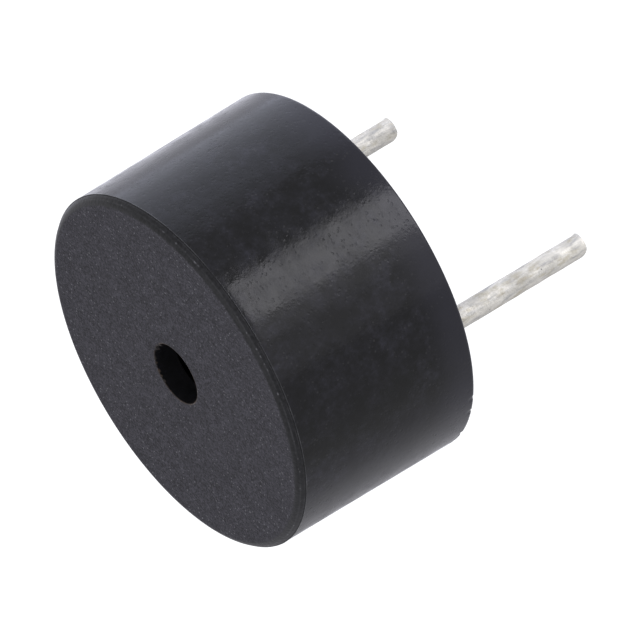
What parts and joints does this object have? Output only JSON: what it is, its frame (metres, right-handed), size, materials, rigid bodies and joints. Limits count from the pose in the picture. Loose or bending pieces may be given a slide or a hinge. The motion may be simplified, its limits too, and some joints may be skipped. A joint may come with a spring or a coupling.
{
  "type": "magnetic buzzer",
  "caption": "Round through-hole magnetic sounder in a black moulded cup, with a sound port in its face and tinned pins of unequal length under its potted base.",
  "frame": {"origin": "middle between the two pins, on the seating plane: the flat rim of the open base that stands on a circuit board", "axes": "+Z out of the face with the sound port, pins along -Z; +X from the axis to the positive, longer pin; +Y completes the right-handed frame"},
  "size_m": [0.012, 0.012, 0.0124],
  "materials": {
    "moulded_plastic": "satin",
    "spring_steel": "satin",
    "soft_iron": "matte",
    "ring_plastic": "matte",
    "ferrite": "matte",
    "bobbin_plastic": "matte",
    "enamelled_copper": "gloss",
    "plated_iron": "satin",
    "board_laminate": "satin",
    "copper_foil": "satin",
    "tinned_wire": "satin",
    "solder": "satin",
    "potting_resin": "gloss"
  },
  "bodies": {
    "root": {"housing": "moulded_plastic", "diaphragm": "spring_steel", "diaphragm_weight": "soft_iron", "support_ring": "ring_plastic", "ring_magnet": "ferrite", "core_pole": "soft_iron", "coil_bobbin": "bobbin_plastic", "coil_winding": "enamelled_copper", "yoke_plate": "plated_iron", "circuit_board": "board_laminate", "positive_pad": "copper_foil", "negative_pad": "copper_foil", "positive_pin": "tinned_wire", "negative_pin": "tinned_wire", "positive_solder": "solder", "negative_solder": "solder", "base_seal": "potting_resin"}
  },
  "joints": []
}
